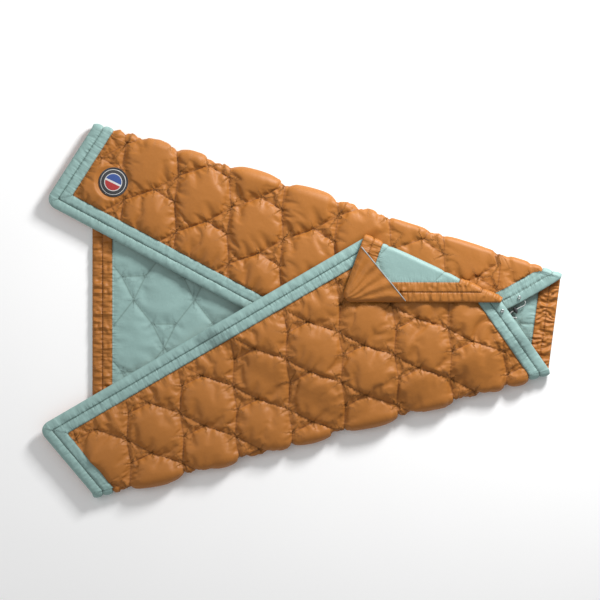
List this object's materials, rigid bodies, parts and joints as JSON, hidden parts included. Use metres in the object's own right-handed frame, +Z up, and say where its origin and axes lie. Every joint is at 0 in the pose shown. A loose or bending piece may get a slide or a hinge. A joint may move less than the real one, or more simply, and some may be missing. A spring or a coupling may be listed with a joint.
{
  "type": "camp blanket",
  "caption": "Quilted down camp blanket folded as a wrap: back panel, two flaps, turned-out lapel with hand pocket, neck drawcord.",
  "frame": {"origin": "middle of the folded blanket's footprint, on the surface it lies on", "axes": "+X from hem to neck along the folded blanket's length, +Y towards the left flap's fold, +Z up"},
  "size_m": [1.559, 1.1346, 0.0936],
  "materials": {
    "brown_nylon": "satin quilted nylon",
    "teal_nylon": "satin nylon",
    "down_fill": "loose down",
    "cord": "braided cord",
    "lock_plastic": "moulded",
    "lock_button": "moulded",
    "bright_metal": "satin metal",
    "binding": "woven tape",
    "patch_weave": "woven patch",
    "patch_edge": "merrowed edge"
  },
  "bodies": {
    "back": {"back_fill": "down_fill", "back_hem_border": "teal_nylon", "back_hem_facing": "brown_nylon", "back_hem_inner_channel": "down_fill", "back_hem_outer_channel": "down_fill", "back_lining": "teal_nylon", "back_neck_border": "teal_nylon", "back_neck_facing": "brown_nylon", "back_neck_inner_channel": "down_fill", "back_neck_outer_channel": "down_fill", "back_shell": "brown_nylon", "left_fold": "brown_nylon", "neck_cord_back": "cord", "right_fold": "brown_nylon"},
    "left_flap": {"cord_knot": "cord", "drawcord": "cord", "left_edge_border": "teal_nylon", "left_edge_facing": "brown_nylon", "left_edge_inner_channel": "down_fill", "left_edge_outer_channel": "down_fill", "left_eyelet": "bright_metal", "left_fill": "down_fill", "left_lining": "teal_nylon", "left_shell": "brown_nylon", "neck_cord_left": "cord", "patch": "patch_weave", "patch_rim": "patch_edge"},
    "right_flap": {"lapel_fold": "brown_nylon", "neck_cord_right": "cord", "right_edge_border": "teal_nylon", "right_edge_facing": "brown_nylon", "right_edge_inner_channel": "down_fill", "right_edge_outer_channel": "down_fill", "right_eyelet": "bright_metal", "right_fill": "down_fill", "right_lining": "teal_nylon", "right_neck_border": "teal_nylon", "right_neck_facing": "brown_nylon", "right_neck_inner_channel": "down_fill", "right_neck_outer_channel": "down_fill", "right_shell": "brown_nylon"},
    "lapel": {"lapel_edge_border": "teal_nylon", "lapel_edge_facing": "brown_nylon", "lapel_edge_inner_channel": "down_fill", "lapel_edge_outer_channel": "down_fill", "lapel_fill": "down_fill", "lapel_lining": "teal_nylon", "lapel_shell": "brown_nylon", "pocket_binding": "binding", "pocket_panel": "brown_nylon"},
    "cord_lock": {"lock_barrel": "lock_plastic", "lock_spring": "bright_metal"},
    "plunger": {"lock_plunger": "lock_button"}
  },
  "joints": [
    {"name": "right_flap_fold", "type": "hinge", "parent": "back", "child": "right_flap", "pos_m": [-0.63362, -0.54787, 0.02015], "axis": [0.9652, 0.2615, 0], "range_deg": [0, 165], "deforming": ["right_fold"]},
    {"name": "left_flap_fold", "type": "hinge", "parent": "back", "child": "left_flap", "pos_m": [-0.63362, 0.54813, 0.02015], "axis": [0.9522, -0.3055, 0], "range_deg": [-66, 0], "deforming": ["left_fold"]},
    {"name": "lapel_fold", "type": "hinge", "parent": "right_flap", "child": "lapel", "pos_m": [0.17916, 0.21603, 0.06075], "axis": [-0.9083, 0.4183, 0], "range_deg": [0, 140], "deforming": ["lapel_fold"]},
    {"name": "cord_lock_slide", "type": "slide", "parent": "left_flap", "child": "cord_lock", "axis": [-0.8771, -0.4803, 0], "range_m": [-0.004, 0.004]},
    {"name": "cord_lock_press", "type": "slide", "parent": "cord_lock", "child": "plunger", "axis": [-0.4803, 0.8771, 0], "range_m": [0, 0.002], "stiffness_N_per_m": 400, "deforming": ["lock_spring"]}
  ],
  "couplings": [
    {"joint": "left_flap_fold", "follows": "right_flap_fold", "ratio": -0.4}
  ]
}
